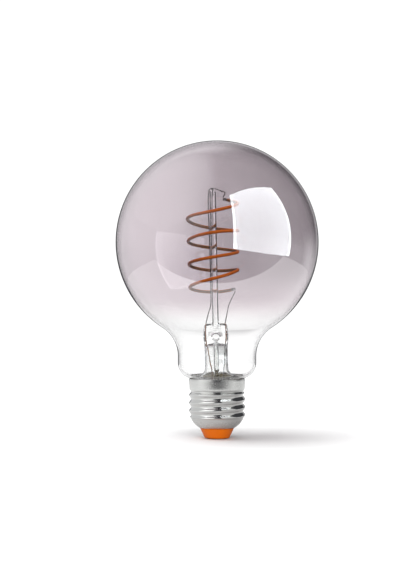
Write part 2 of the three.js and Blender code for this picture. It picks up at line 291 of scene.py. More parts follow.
# The mix node's colour sockets, which share their names with its other kinds of socket
MIX_FACTOR = 0
MIX_COLOURS = (6, 7)
MIX_RESULT = 2

GLASS_INDEX = 1.5
COATING_INDEX = 2.25


def feed(tree, socket, value):
    """Links a socket to another node's output, or sets its value."""
    if isinstance(value, bpy.types.NodeSocket):
        tree.links.new(value, socket)
    else:
        socket.default_value = value


def add_node(tree, kind, inputs=(), **settings):
    """Adds a node. An input is a value or another node's output."""
    made = tree.nodes.new(kind)
    for name, value in settings.items():
        setattr(made, name, value)
    for socket, value in dict(inputs).items():
        feed(tree, made.inputs[socket], value)
    return made


def new_material(name, settings):
    """A node material with its constant values set on the Principled shader."""
    material = bpy.data.materials.new(name)
    material.use_nodes = True
    shader = material.node_tree.nodes["Principled BSDF"]
    for socket, value in settings.items():
        shader.inputs[socket].default_value = value
    return material, material.node_tree, shader


def position(tree):
    """Where a point is on the bulb, in metres."""
    return add_node(tree, "ShaderNodeTexCoord").outputs["Object"]


def axis_of(tree, vector, axis):
    """The X, Y or Z of a vector."""
    return add_node(tree, "ShaderNodeSeparateXYZ", {"Vector": vector}).outputs[axis]


def share(tree, value, low, high, to_low=0.0, to_high=1.0):
    """to_low where value is low, to_high where it is high, smooth between."""
    inputs = {
        "Value": value, "From Min": low, "From Max": high, "To Min": to_low, "To Max": to_high,
    }
    made = add_node(tree, "ShaderNodeMapRange", inputs, interpolation_type="SMOOTHSTEP")
    return made.outputs["Result"]


def height_share(tree, place, low, high):
    """0 below low mm, 1 above high mm, smooth between."""
    return share(tree, axis_of(tree, place, "Z"), low * MM, high * MM)


def noise(tree, place, scale, detail=3.0, roughness=0.5):
    """A cloudy pattern from 0 to 1, with scale blotches to a metre."""
    inputs = {"Vector": place, "Scale": scale, "Detail": detail, "Roughness": roughness}
    return add_node(tree, "ShaderNodeTexNoise", inputs).outputs["Fac"]


def stretched(tree, place, x, y, z):
    """Places for a pattern that is as many times finer along each axis."""
    inputs = {"Vector": place, "Scale": (x, y, z)}
    return add_node(tree, "ShaderNodeMapping", inputs).outputs["Vector"]


def ramp(tree, share_of, *stops):
    """A colour ramp; a stop is (position, (red, green, blue))."""
    made = add_node(tree, "ShaderNodeValToRGB", {"Fac": share_of})
    elements = made.color_ramp.elements
    while len(elements) < len(stops):
        elements.new(0.5)
    for element, (place, colour) in zip(elements, stops):
        element.position = place
        element.color = (*colour, 1)
    return made.outputs["Color"]


def mottled(tree, pattern, dark, light, low=NOISE_LOW, high=NOISE_HIGH):
    """dark where a noise is low, light where it is high."""
    return ramp(tree, pattern, (low, dark), (high, light))


def uneven(tree, pattern, low, high):
    """A value between low and high that follows a noise."""
    return share(tree, pattern, NOISE_LOW, NOISE_HIGH, low, high)


def mixed(tree, share_of, first, second):
    """first where share_of is 0, second where it is 1; each is a colour or a node's output."""
    made = add_node(tree, "ShaderNodeMix", data_type="RGBA")
    feed(tree, made.inputs[MIX_FACTOR], share_of)
    for socket, colour in zip(MIX_COLOURS, (first, second)):
        is_output = isinstance(colour, bpy.types.NodeSocket)
        feed(tree, made.inputs[socket], colour if is_output else (*colour, 1))
    return made.outputs[MIX_RESULT]


def maths(tree, operation, first, second=0.5):
    """An operation on one value or output, or on two."""
    made = add_node(tree, "ShaderNodeMath", operation=operation)
    for socket, value in zip(made.inputs, (first, second)):
        feed(tree, socket, value)
    return made.outputs[0]


def product(tree, first, *others):
    """Values or outputs multiplied together."""
    for other in others:
        first = maths(tree, "MULTIPLY", first, other)
    return first


def opposite(tree, value):
    """1 less the value."""
    return maths(tree, "SUBTRACT", 1.0, value)


def grey(level):
    return (level, level, level)


def bump(tree, shader, height, depth, strength):
    """Raises the surface by up to depth mm."""
    inputs = {"Height": height, "Distance": depth * MM, "Strength": strength}
    made = add_node(tree, "ShaderNodeBump", inputs)
    tree.links.new(made.outputs["Normal"], shader.inputs["Normal"])


def lamps_pass(material, tree, shader, tint):
    """Lets light from the lamps through glass, tinted, so that what is inside is lit."""
    shadow = add_node(tree, "ShaderNodeLightPath").outputs["Is Shadow Ray"]
    clear = add_node(tree, "ShaderNodeBsdfTransparent", {"Color": tint})
    mix = add_node(tree, "ShaderNodeMixShader", {"Fac": shadow})
    tree.links.new(shader.outputs["BSDF"], mix.inputs[1])
    tree.links.new(clear.outputs["BSDF"], mix.inputs[2])
    output = tree.nodes["Material Output"]
    tree.links.new(mix.outputs["Shader"], output.inputs["Surface"])
    return material


# ---------------------------------------------------------------- materials


def smoked_glass():
    """Glass whose outer face has a mirroring smoke coating that fades to clear at the neck.

    Painted shade at the rim: where the glass is seen edge-on, its reflection and its coating's
    mirroring are dimmed, and at the very outline its colour is painted dark.
    """
    material, tree, shader = new_material("smoked_glass", {
        "Roughness": 0.0, "IOR": GLASS_INDEX, "Transmission Weight": 1.0, "Coat Roughness": 0.0,
        "Coat IOR": COATING_INDEX,
    })
    place = position(tree)
    wander = maths(tree, "SUBTRACT", noise(tree, place, 30, detail=1), 0.5)
    height = maths(
        tree, "ADD", axis_of(tree, place, "Z"), product(tree, wander, SMOKE_WANDER * MM),
    )
    smoke = share(tree, height, SMOKE_CLEAR * MM, SMOKE_FULL * MM)
    from_centre = add_node(
        tree, "ShaderNodeVectorMath", {0: place, 1: (0, 0, GLOBE_CENTRE * MM)},
        operation="DISTANCE",
    ).outputs["Value"]
    mid_wall = (GLOBE_RADIUS - GLASS_WALL / 2) * MM
    coating = product(tree, smoke, maths(tree, "GREATER_THAN", from_centre, mid_wall))
    colour = ramp(
        tree, coating,
        (0.0, grey(0.99)), (0.5, (0.82, 0.77, 0.79)), (1.0, (0.61, 0.525, 0.57)),
    )
    grazing = add_node(tree, "ShaderNodeLayerWeight", {"Blend": 0.5}).outputs["Facing"]
    # Painted shade: towards the rim the reflection is tinted dark and the coat's mirroring fades,
    # and at the very rim a dark line is painted into the base colour
    painted_rim_dimming = share(tree, grazing, 0.58, 0.8)
    painted_dark_rim = share(tree, grazing, 0.8, 0.96)
    tree.links.new(mixed(tree, painted_dark_rim, colour, grey(0.2)), shader.inputs["Base Color"])
    # Painted shade: a dark specular tint that dims the reflection towards the rim
    dull = mixed(tree, painted_rim_dimming, grey(1.0), grey(0.06))
    tree.links.new(dull, shader.inputs["Specular Tint"])
    from_inside = add_node(tree, "ShaderNodeNewGeometry").outputs["Backfacing"]
    mirror = product(tree, opposite(tree, from_inside), opposite(tree, painted_rim_dimming), coating)
    tree.links.new(mirror, shader.inputs["Coat Weight"])
    bump(tree, shader, noise(tree, place, 16, detail=1), 0.05, 0.2)
    passed = mixed(tree, smoke, grey(0.97), (0.5, 0.46, 0.47))
    return lamps_pass(material, tree, shader, passed)


def clear_glass():
    """Drawn soda glass of the stem, faintly grey, with the ripple left by the flame."""
    material, tree, shader = new_material("clear_glass", {
        "Roughness": 0.0, "IOR": GLASS_INDEX, "Transmission Weight": 1.0,
    })
    place = position(tree)
    streaks = noise(tree, place, 60, detail=2)
    colour = mottled(tree, streaks, (0.95, 0.955, 0.95), (0.97, 0.975, 0.97))
    tree.links.new(colour, shader.inputs["Base Color"])
    ripple = noise(tree, stretched(tree, place, 1, 1, 0.3), 160, detail=1)
    bump(tree, shader, ripple, 0.01, 0.2)
    return lamps_pass(material, tree, shader, colour)


def nickel_plate():
    """Bright nickel on the thread, satin on the skirt and on the cup under the thread."""
    bright, satin = 0.09, 0.27
    material, tree, shader = new_material("nickel_plate", {"Metallic": 1.0})
    place = position(tree)
    colour = mottled(tree, noise(tree, place, 60), (0.69, 0.695, 0.68), (0.72, 0.725, 0.71))
    tree.links.new(colour, shader.inputs["Base Color"])
    skirt = height_share(tree, place, THREAD_HIGH - 0.1, THREAD_HIGH + 0.9)
    cup = opposite(tree, height_share(tree, place, THREAD_LOW - 1.1, THREAD_LOW + 0.3))
    rough = share(tree, maths(tree, "MAXIMUM", skirt, cup), 0, 1, bright, satin)
    grain = maths(tree, "SUBTRACT", noise(tree, place, 2500, detail=2), 0.5)
    rough = maths(tree, "ADD", rough, product(tree, grain, 0.03))
    tree.links.new(rough, shader.inputs["Roughness"])
    turned = noise(tree, stretched(tree, place, 40, 40, 4000), 1.0, detail=2)
    bump(tree, shader, turned, 0.0005, 0.3)
    return material


def plain_metal(name, dark, light, rough, grain=700.0):
    """A drawn or rolled metal, with streaks, specks and an uneven shine."""
    material, tree, shader = new_material(name, {"Metallic": 1.0})
    place = position(tree)
    fine = noise(tree, place, grain, detail=4)
    blotch = noise(tree, place, grain / 6, detail=2)
    colour = mottled(tree, blotch, dark, light, BLOTCH_LOW, BLOTCH_HIGH)
    tree.links.new(colour, shader.inputs["Base Color"])
    tree.links.new(uneven(tree, fine, rough * 0.7, rough * 1.3), shader.inputs["Roughness"])
    bump(tree, shader, fine, 0.01, 0.5)
    return material


def matt(name, dark, light, rough, scale, depth):
    """A dull cast, moulded or coated surface with a fine relief."""
    material, tree, shader = new_material(name, {})
    place = position(tree)
    fine = noise(tree, place, scale, detail=5, roughness=0.6)
    blotch = noise(tree, place, scale / 5, detail=2)
    colour = mottled(tree, blotch, dark, light, BLOTCH_LOW, BLOTCH_HIGH)
    tree.links.new(colour, shader.inputs["Base Color"])
    tree.links.new(uneven(tree, fine, rough - 0.08, rough + 0.08), shader.inputs["Roughness"])
    bump(tree, shader, fine, depth, 0.6)
    return material


def along_strand(tree):
    """How far along the strand a point is, in millimetres."""
    return add_node(tree, "ShaderNodeAttribute", attribute_name="along").outputs["Fac"]


def phosphor_silicone():
    """Orange phosphor silicone, with the row of LED chips just showing under it."""
    half_pitch = 0.45
    material, tree, shader = new_material("phosphor_silicone", {
        "Coat Weight": 0.1, "Coat Roughness": 0.25, "Specular IOR Level": 0.25,
    })
    place = position(tree)
    chips = share(tree, maths(tree, "PINGPONG", along_strand(tree), half_pitch), 0.08, 0.3)
    rubber = mottled(tree, noise(tree, place, 350), (0.9, 0.19, 0.006), (0.98, 0.23, 0.01))
    colour = mixed(tree, product(tree, chips, 0.35), rubber, (0.6, 0.1, 0.006))
    tree.links.new(colour, shader.inputs["Base Color"])
    tree.links.new(uneven(tree, noise(tree, place, 1500), 0.36, 0.5), shader.inputs["Roughness"])
    bump(tree, shader, noise(tree, place, 900, detail=4), 0.03, 0.5)
    return material


def flex_circuit():
    """Brown polyimide strip with its row of copper pads."""
    half_pitch = 0.9
    material, tree, shader = new_material("flex_circuit", {"Roughness": 0.45})
    place = position(tree)
    pads = share(tree, maths(tree, "PINGPONG", along_strand(tree), half_pitch), 0.35, 0.45)
    film = mottled(tree, noise(tree, place, 600), (0.2, 0.09, 0.035), (0.27, 0.13, 0.05))
    colour = mixed(tree, product(tree, pads, 0.6), film, (0.5, 0.25, 0.12))
    tree.links.new(colour, shader.inputs["Base Color"])
    bump(tree, shader, pads, 0.02, 0.6)
    return material


def orange_plastic():
    """Moulded orange insulator: even colour, a soft shine and a faint moulding texture."""
    material, tree, shader = new_material("orange_plastic", {"Specular IOR Level": 0.25})
    place = position(tree)
    colour = mottled(tree, noise(tree, place, 180), (0.78, 0.156, 0.002), (0.82, 0.168, 0.003))
    tree.links.new(colour, shader.inputs["Base Color"])
    tree.links.new(uneven(tree, noise(tree, place, 1200), 0.38, 0.5), shader.inputs["Roughness"])
    bump(tree, shader, noise(tree, place, 2500), 0.008, 0.5)
    return material


def circuit_board():
    """Green solder mask over copper tracks and pads, laid out on a grid."""
    material, tree, shader = new_material("circuit_board", {"Coat Weight": 0.2})
    place = position(tree)
    cells = add_node(
        tree, "ShaderNodeTexVoronoi", {"Vector": place, "Scale": 420.0}, distance="CHEBYCHEV",
    ).outputs["Distance"]
    track = share(tree, cells, 0.16, 0.22)
    pad = opposite(tree, share(tree, cells, 0.1, 0.13))
    mask = mixed(tree, track, (0.05, 0.2, 0.09), (0.02, 0.11, 0.05))
    tree.links.new(mixed(tree, pad, mask, (0.62, 0.62, 0.58)), shader.inputs["Base Color"])
    tree.links.new(uneven(tree, noise(tree, place, 900), 0.3, 0.45), shader.inputs["Roughness"])
    bump(tree, shader, track, 0.03, 0.5)
    return material


# ---------------------------------------------------------------- glass globe


def globe_profile(inset):
    """One side of the glass wall, from the neck's end to the top."""
    reach = GLOBE_RADIUS + NECK_FILLET
    across = NECK_RADIUS + NECK_FILLET
    fillet_centre = (across, GLOBE_CENTRE - math.sqrt(reach**2 - across**2))
    contact = math.degrees(math.atan2(GLOBE_CENTRE - fillet_centre[1], -across))
    shoulder_centre = (NECK_RADIUS - SHOULDER_RADIUS, SHOULDER_HEIGHT)
    shoulder = arc(SHOULDER_RADIUS - inset, shoulder_centre, SHOULDER_END, 0, ARC_STEPS)
    fillet = arc(NECK_FILLET + inset, fillet_centre, 180, contact, ARC_STEPS)
    sphere = arc(GLOBE_RADIUS - inset, (0, GLOBE_CENTRE), contact - 180, 90, SPHERE_STEPS)
    seal = [(SEAL_RADIUS - inset, NECK_END), (SEAL_RADIUS - inset, shoulder[0][1] - GLASS_WALL)]
    return [*seal, *shoulder, *fillet, *sphere[1:-1], (0, BULB_HEIGHT - inset)]


def make_globe():
    profile = [*reversed(globe_profile(GLASS_WALL)), *globe_profile(0)]
    shape = lathe(profile, FINE_SIDES)
    return piece("glass_globe_smooth", shape, smoked_glass(), ["glass_globe"])


# ---------------------------------------------------------------- screw cap


def blend(value, low, high):
    """0 below low, 1 above high, smooth between."""
    t = min(max((value - low) / (high - low), 0), 1)
    return t * t * (3 - 2 * t)


def thread_rise(angle, height):
    """How far the right-handed thread stands out."""
    phase = TURN * (height - THREAD_CREST) / THREAD_PITCH - angle
    run_in = blend(height, THREAD_LOW, THREAD_LOW + THREAD_RUN_IN)
    run_out = 1 - blend(height, THREAD_HIGH - THREAD_RUN_OUT, THREAD_HIGH)
    return THREAD_DEPTH * run_in * run_out * (1 + math.cos(phase)) / 2


def make_screw_shell():
    step = (THREAD_HIGH - THREAD_LOW) / THREAD_STEPS
    thread = [(THREAD_ROOT, THREAD_LOW + step * i) for i in range(THREAD_STEPS + 1)]
    cup = [
        (8, 4.95), (8.3, 5.05), (8.9, 5.42), (9.5, 5.85), (10.1, 6.35), (10.6, 6.85),
        (11.05, 7.37), (11.4, 7.9), (11.75, 8.4), (12.05, 8.85),
    ]
    skirt = [
        (12.24, 22), (12.42, 22.2), (12.64, 22.5), (12.78, 22.85), (12.84, 23.3),
        (12.9, 24.5), (13.0, 26.6), (13.05, 27.5), (13.02, 27.64), (12.94, 27.7),
    ]
    # The cup slants, so its wall is set in both ways
    slant = SHELL_WALL * 0.75
    cup_inside = [(radius - slant, height + slant) for radius, height in cup[1:]]
    above_inside = [(radius - SHELL_WALL, height) for radius, height in [*thread, *skirt[:-1]]]
    inside = [
        (cup[0][0], cup[0][1] + SHELL_WALL), *cup_inside, *above_inside,
        (SKIRT_RADIUS - SHELL_WALL, SKIRT_HEIGHT),
    ]
    profile = [*cup, *thread, *skirt, *reversed(inside)]
    shape = lathe(profile, FINE_SIDES, loop=True, rise=thread_rise)
    piece("screw_shell_threaded", shape, nickel_plate(), ["screw_shell"])


def make_insulator():
    profile = [
        (1.7, 1.1), (5.05, 1.1), (5.05, 0.55), (5.2, 0.4), (5.6, 0.4), (5.76, 0.46),
        (5.88, 0.62), (7.9, 4.8), (7.7, 4.95), (7.7, 5.9), (9.2, 6.5), (9.2, 7.2), (1.7, 7.2),
    ]
    shape = lathe(profile, CAP_SIDES, loop=True)
    piece("cap_insulator_moulded", shape, orange_plastic(), ["cap_insulator"])


def make_contact():
    profile = [
        (0, 0), (4.3, 0), (4.55, 0.04), (4.7, 0.16), (4.75, 0.34), (4.75, 0.8), (1.4, 0.8),
        (1.4, 6.5), (1.3, 6.6), (0.8, 6.6), (0.7, 6.5), (0.7, 2), (0, 2),
    ]
    metal = plain_metal("contact_metal", (0.36, 0.3, 0.2), (0.52, 0.44, 0.3), 0.34)
    piece("end_contact_button", lathe(profile), metal, ["end_contact"])


def make_cement():
    profile = [
        (6.5, 22.4), (12, 22.4), (12.35, 23.2), (12.5, 24.6), (12.6, 27), (12.5, 27.35),
        (12.3, 27.2), (12.3, 23.5), (10.2, 23.5), (9, 25.6), (6.5, 25.6),
    ]
    cement = matt("basing_cement", (0.2, 0.17, 0.1), (0.34, 0.3, 0.19), 0.85, 1400, 0.12)
    shape = lathe(profile, CAP_SIDES, loop=True)
    piece("basing_cement_ring", shape, cement, ["basing_cement"])


# ---------------------------------------------------------------- glass mount


def oval_loft(rows, sides=LOFT_SIDES):
    """A closed skin over rows of (height, half width, half depth, squareness).

    A squareness of 2 is an ellipse, and more is nearer to a rectangle.
    """
    vertices = []
    for height, wide, deep, square in rows:
        for i in range(sides):
            angle = TURN * i / sides
            c, s = math.cos(angle), math.sin(angle)
            x = math.copysign(abs(c) ** (2 / square), c) * wide
            y = math.copysign(abs(s) ** (2 / square), s) * deep
            vertices.append((x, y, height))
    faces = [
        [low + i, low + (i + 1) % sides, low + sides + (i + 1) % sides, low + sides + i]
        for low in range(0, (len(rows) - 1) * sides, sides)
        for i in range(sides)
    ]
    last = (len(rows) - 1) * sides
    return vertices, faces + [list(range(sides)), list(range(last, last + sides))]


def carve(target, tools, operation):
    """Joins tools to target or cuts them out of it, and leaves one mesh."""
    for tool in tools:
        modifier = target.modifiers.new(operation.lower(), "BOOLEAN")
        modifier.operation = operation
        modifier.solver = "EXACT"
        modifier.object = tool
    bpy.context.view_layer.update()
    graph = bpy.context.evaluated_depsgraph_get()
    result = bpy.data.meshes.new_from_object(target.evaluated_get(graph))
    target.modifiers.clear()
    target.data = result
    for tool in tools:
        bpy.data.objects.remove(tool)


def make_stem():
    """Flare, press, pump tube and rod, fused into one piece of glass."""
    skin = [
        (27.2, 11.1, 11.1, 2), (27.9, 10.2, 10.2, 2), (28.6, 8.2, 8.2, 2), (29.7, 6.6, 6.6, 2),
        (31.2, 5.7, 5.7, 2), (33, 5.4, 5.4, 2), (36, 5.4, 5.4, 2), (39.5, 5.4, 5.3, 2),
        (41.5, 5.42, 4.6, 2.1), (43, 5.5, 3.6, 2.2), (44.4, 5.65, 2.8, 2.4),
        (45.8, 5.8, 2.4, 2.6), (48, 5.85, 2.3, 2.6), (50.5, 5.82, 2.3, 2.6),
        (51.5, 5.75, 2.2, 2.6), (52.3, 5.5, 1.85, 2.5), (52.9, 5.15, 1.4, 2.4),
        (53.25, 4.6, 0.9, 2.3), (53.42, 3.9, 0.45, 2.2),
    ]
    cavity = [
        (26.4, 11, 11, 2), (27.1, 9.8, 9.8, 2), (27.8, 7.7, 7.7, 2), (29.1, 5.9, 5.9, 2),
        (31, 4.95, 4.95, 2), (33, 4.6, 4.6, 2), (38, 4.6, 4.6, 2), (40.5, 4.55, 4.1, 2),
        (42, 4.4, 3.1, 2), (43.2, 4.0, 1.9, 2), (44, 3.2, 0.9, 2),
    ]
    tube = lathe([(0, 17), (0.84, 17.5), (1.2, 18.6), (1.2, 46), (0, 46.2)], 32)
    bore = lathe([(0, 19), (0.6, 19.6), (0.6, 47.8), (0, 48)], 24)
    rod = lathe([
        (0, 51), (1.5, 51.2), (1.75, 53.3), (1.55, 54.4), (ROD_RADIUS, 55.5),
        (ROD_RADIUS, ROD_TOP - 1), (1.42, ROD_TOP - 0.45), (1.15, ROD_TOP - 0.1),
        (0.8, ROD_TOP), (0, ROD_TOP),
    ], 48)
    anchor_bore = lathe([
        (0, ROD_TOP - 3), (0.2, ROD_TOP - 2.9), (0.2, ROD_TOP + 1), (0, ROD_TOP + 1),
    ], 12)
    # A waist with flared mouths, which lies through the press from front to back
    vertices, faces = lathe([
        (0, -6), (4.6, -6), (4.5, -2.75), (3.7, -2.35), (2.0, -1.42), (1.76, -1.2), (1.7, -0.9),
        (1.7, 0.9), (1.76, 1.2), (2.0, 1.42), (3.7, 2.35), (4.5, 2.75), (4.6, 6), (0, 6),
    ], 48)
    blow_hole = ([(x, z, BLOW_HOLE + y * BLOW_HOLE_SQUASH) for x, y, z in vertices], faces)
    # A spindle that lies across the press, sunk a little into its front and into its back
    vertices, faces = lathe([
        (0, -3.3), (0.35, -3.1), (0.62, -2.4), (0.7, 0), (0.62, 2.4), (0.35, 3.1), (0, 3.3),
    ], 24)
    tong_marks = [
        ([(z, side * TONG_MARK_DEPTH + x, TONG_MARK + y) for x, y, z in vertices], faces)
        for side in (-1, 1)
    ]

    glass = piece(
        "stem_glass", oval_loft(skin), clear_glass(),
        ["stem_flare", "stem_press", "exhaust_tube", "support_rod"], leaning=True,
    )

    def tools(*shapes):
        return [linked("tool", mesh_of("tool", shape, leaning=True)) for shape in shapes]

    carve(glass, tools(oval_loft(cavity)), "DIFFERENCE")
    carve(glass, tools(tube, rod), "UNION")
    carve(glass, tools(blow_hole, bore, anchor_bore, *tong_marks), "DIFFERENCE")
    glass.data.shade_smooth()
    glass.data.set_sharp_from_angle(angle=math.radians(STEM_SHARP_ANGLE))


# ---------------------------------------------------------------- filament


def coil_height(share_along):
    """The coil's height by a uniform spline through its quarter-turn heights."""
    last = len(COIL_HEIGHTS) - 1
    place = share_along * last
    i = min(max(math.floor(place), 0), last)
    t = place - i
    p0, p1, p2, p3 = (COIL_HEIGHTS[min(max(k, 0), last)] for k in range(i - 1, i + 3))
    v0, v1 = (p2 - p0) / 2, (p3 - p1) / 2
    cubic = 2 * p1 - 2 * p2 + v0 + v1
    square = 3 * p2 - 3 * p1 - 2 * v0 - v1
    return cubic * t**3 + square * t**2 + v0 * t + p1


def coil_angle(quarter):
    """The angle round the coil at a place given in quarter turns."""
    return -quarter * math.pi / 2


def coil_point(quarter):
    """A point of the coil at a place given in quarter turns."""
    angle = coil_angle(quarter)
    along = (quarter + 1) / (len(COIL_HEIGHTS) - 1)
    radius = COIL_TOP_RADIUS + (COIL_LOW_RADIUS - COIL_TOP_RADIUS) * along
    return Vector((
        COIL_CENTRE + radius * math.cos(angle), radius * math.sin(angle), coil_height(along),
    ))


def coil_places(start, end, steps):
    """Evenly spaced places along the coil."""
    return [start + (end - start) * i / steps for i in range(steps + 1)]


def coil_sweep(places, section):
    """Carries a section along the coil, its first axis away from the coil's own axis."""
    points = [coil_point(place) for place in places]
    frames = []
    for place, along in zip(places, tangents(points)):
        angle = coil_angle(place)
        outward = Vector((math.cos(angle), math.sin(angle), 0))
        outward = (outward - along * outward.dot(along)).normalized()
        frames.append((outward, along.cross(outward)))
    return sweep(points, frames, section)


def mark_length(made, places, corners):
    """Stores how far along the strand each vertex is, in millimetres."""
    points = [coil_point(place) for place in places]
    lengths = [0.0]
    for before, after in zip(points, points[1:]):
        lengths.append(lengths[-1] + (after - before).length)
    attribute = made.data.attributes.new("along", "FLOAT", "POINT")
    attribute.data.foreach_set("value", [length for length in lengths for _ in range(corners)])


def make_filament():
    """The phosphor's section is a circle cut flat on its inner side, where the strip lies."""
    places = coil_places(COIL_START, COIL_END, COIL_STEPS)
    opening, sides = math.radians(125), 18
    strand = [
        (STRAND_RADIUS * math.cos(a), STRAND_RADIUS * math.sin(a))
        for a in (-opening + 2 * opening * i / sides for i in range(sides + 1))
    ]
    strip = [
        (-0.68, -0.46), (-0.66, -0.5), (-0.52, -0.5), (-0.5, -0.46),
        (-0.5, 0.46), (-0.52, 0.5), (-0.66, 0.5), (-0.68, 0.46),
    ]
    pieces = [
        ("filament_phosphor_strand", strand, phosphor_silicone(), "phosphor", "filament_phosphor"),
        ("filament_carrier_strip", strip, flex_circuit(), "flex_circuit", "filament_carrier"),
    ]
    for name, section, material, slot, node in pieces:
        shape = coil_sweep(places, section)
        made = piece(name, shape, material, [node], leaning=True)
        mark_length(made, places, len(section))


def make_crimps(metal):
    section = [
        (0.6, 0.4), (0.52, 0.58), (0.35, 0.65), (-0.35, 0.65), (-0.52, 0.58), (-0.6, 0.4),
        (-0.6, -0.4), (-0.52, -0.58), (-0.35, -0.65), (0.35, -0.65), (0.52, -0.58), (0.6, -0.4),
    ]
    for end, start, way in (("top", COIL_START, -1), ("bottom", COIL_END, 1)):
        places = coil_places(start + way * CRIMP_GAP, start + way * CRIMP_END, CRIMP_STEPS)
        node = f"filament_crimp_{end}"
        piece(f"{node}_sleeve", coil_sweep(places, section), metal, [node], True)


def make_hooks(metal):
    """Each runs from the rod's back under a rear strand of the coil and turns up behind it."""
    for index, name in enumerate(("upper", "middle", "lower")):
        strand = coil_point(FIRST_REAR_STRAND + QUARTERS_IN_TURN * index)
        below = strand.z - STRAND_RADIUS - 0.35
        shape = wire(HOOK_RADIUS, [
            (0, ROD_RADIUS - 0.1, below), (0.35, strand.y / 2, below),
            (0.7, strand.y - 0.7, below), (0.7, strand.y + 0.7, below + 0.15),
            (0.7, strand.y + 1.15, below + 1),
        ])
        node = f"filament_hook_{name}"
        piece(f"hook_{name}_wire", shape, metal, [node], True)


# ---------------------------------------------------------------- leads


def make_leads(metal, copper):
    """The wires from the coil's ends down into the cap, and the anchor in the rod's top."""
    top = coil_point(COIL_START - CRIMP_END)
    low = coil_point(COIL_END + CRIMP_END)
    beside = -(ROD_RADIUS + LEAD_RADIUS + 0.15)
    over = ROD_TOP + 0.7
    press_top = PRESS_HIGH + 0.3
    press_foot = PRESS_LOW - 0.3
    routes = [
        ("inner_lead_left", metal, "lead_nickel", [
            (-LEAD_SPACING, 0, press_top), (-3.4, 0, 57.8), (beside - 0.2, 0, 62),
            (beside, 0, 65), (beside, 0, 90), (beside, 0, ROD_TOP - 1), (-1.2, 0.2, over),
            (1, 0.8, over + 0.2), (4.2, 3.4, over - 0.6), (6, 6.6, 115.9),
            (top.x - 0.2, top.y - 0.4, top.z + 0.95),
        ]),
        ("inner_lead_right", metal, "lead_nickel", [
            (LEAD_SPACING, 0, press_top), (5.1, 0.8, 56.2), (6.6, 3.4, 62.3),
            (low.x + 0.1, low.y - 0.8, low.z - 1.6), (low.x + 0.2, low.y, low.z - 0.95),
        ]),
        ("outer_lead_left", copper, "copper", [
            (-4.05, 0, press_foot), (-3.2, 0, 37), (-2.2, 0, 30.5), (-2.6, 0.8, 24),
            (-3.2, 1.9, 20),
        ]),
        ("outer_lead_right", metal, "copper", [
            (4.05, 0, press_foot), (3.75, 0, 37), (3.35, 0, 30.5), (3.2, 0.8, 24),
            (3.4, 1.9, 20),
        ]),
    ]
    for name, side in (("seal_wire_left", -1), ("seal_wire_right", 1)):
        routes.append((name, copper, "copper", [
            (side * 4.05, 0, press_foot), (side * 4.4, 0, PRESS_LOW + 2), (side * 4.5, 0, 49),
            (side * LEAD_SPACING, 0, press_top),
        ]))
    for name, material, slot, points in routes:
        piece(f"{name}_wire", wire(LEAD_RADIUS, points), material, [name], leaning=True)
    anchor = wire(ANCHOR_RADIUS, [
        (0, 0, ROD_TOP - 2.8), (0.05, 0, ROD_TOP - 1), (0, 0, ROD_TOP + 0.3), (-0.5, 0.1, over),
    ])
    piece("rod_top_anchor_wire", anchor, metal, ["rod_top_anchor"], True)


# ---------------------------------------------------------------- driver in the cap


def finish_driver():
    """The driver's CAD solids keep their shape and get their materials."""
    board = circuit_board()
    black = matt("black_moulding", (0.012, 0.012, 0.013), (0.03, 0.03, 0.032), 0.5, 1600, 0.02)
    can = plain_metal("can_aluminium", (0.5, 0.51, 0.53), (0.66, 0.67, 0.69), 0.32)
    ferrite = matt("ferrite", (0.035, 0.035, 0.04), (0.07, 0.07, 0.075), 0.65, 1300, 0.03)
    coat = matt("resistor_coat", (0.08, 0.2, 0.34), (0.12, 0.27, 0.42), 0.42, 900, 0.02)
    copper = plain_metal("wire_copper", (0.48, 0.2, 0.1), (0.62, 0.3, 0.16), 0.34)
    finishes = {
        "driver_board": (board, "circuit_board"),
        "bulk_capacitor": (can, "can_aluminium"),
        "filter_inductor": (ferrite, "ferrite"),
        "bridge_rectifier": (black, "black_moulding"),
        "driver_chip": (black, "black_moulding"),
        "radio_module": (can, "can_aluminium"),
        "fusible_resistor": (coat, "resistor_coat"),
        "centre_contact_wire": (copper, "copper"),
        "shell_contact_wire": (copper, "copper"),
    }
    for name, (material, slot) in finishes.items():
        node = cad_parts[name]
        node.data.materials.clear()
        node.data.materials.append(material)


# ---------------------------------------------------------------- studio

CAMERA_PLACE = (-4.7, -450, 48)
CAMERA_TILT = 2.81
CAMERA_LENS = 60.0
CAMERA_NEAR = 0.01
CAMERA_FAR = 20

TABLE_LEFT = -300
TABLE_RIGHT = 400
TABLE_NEAR = -100
TABLE_FAR = 400

CARD_AZIMUTH = 50
CARD_DISTANCE = 330
SOFTBOX_HALF = 222
SOFTBOX_LOW = 12
SOFTBOX_HIGH = 486
SOFTBOX_RADIANCE = 4.5
WEAK_CARD_HALF = 200
WEAK_CARD_LOW = -10
WEAK_CARD_HIGH = 1500
WEAK_CARD_RADIANCE = (0.36, 0.8)
GLOW_LOW = 60
GLOW_HIGH = 400

# Energy, angle across in degrees, and turn in degrees
LEFT_LIGHT = (3.8, 52, (2, -12, 0))
FRONT_LIGHT = (2.1, 40, (64, 0, 8))

CAMERA_WHITE = 1.1
BRIGHT_PANEL = 1.2
DIM_PANEL = 0.64
DARK_GAP = 0.05
GLASS_BOUNCES = 24
TRANSPARENT_BOUNCES = 32


def make_camera():
    data = bpy.data.cameras.new("camera")
    data.lens = CAMERA_LENS
    data.clip_start = CAMERA_NEAR
    data.clip_end = CAMERA_FAR
    camera = linked("camera", data)
    camera.location = Vector(CAMERA_PLACE) * MM
    camera.rotation_euler = (math.radians(90 + CAMERA_TILT), 0, 0)
    bpy.context.scene.camera = camera


def bounces(tree, path):
    """How many surfaces a ray has met, not counting those it passed through."""
    return maths(
        tree, "SUBTRACT", path.outputs["Ray Depth"], path.outputs["Transmission Depth"],
    )


def after_a_bounce(tree):
    """1 for light that has met a surface, 0 for what is seen directly or only through glass."""
    path = add_node(tree, "ShaderNodeLightPath")
    return maths(tree, "GREATER_THAN", bounces(tree, path), 0.5)


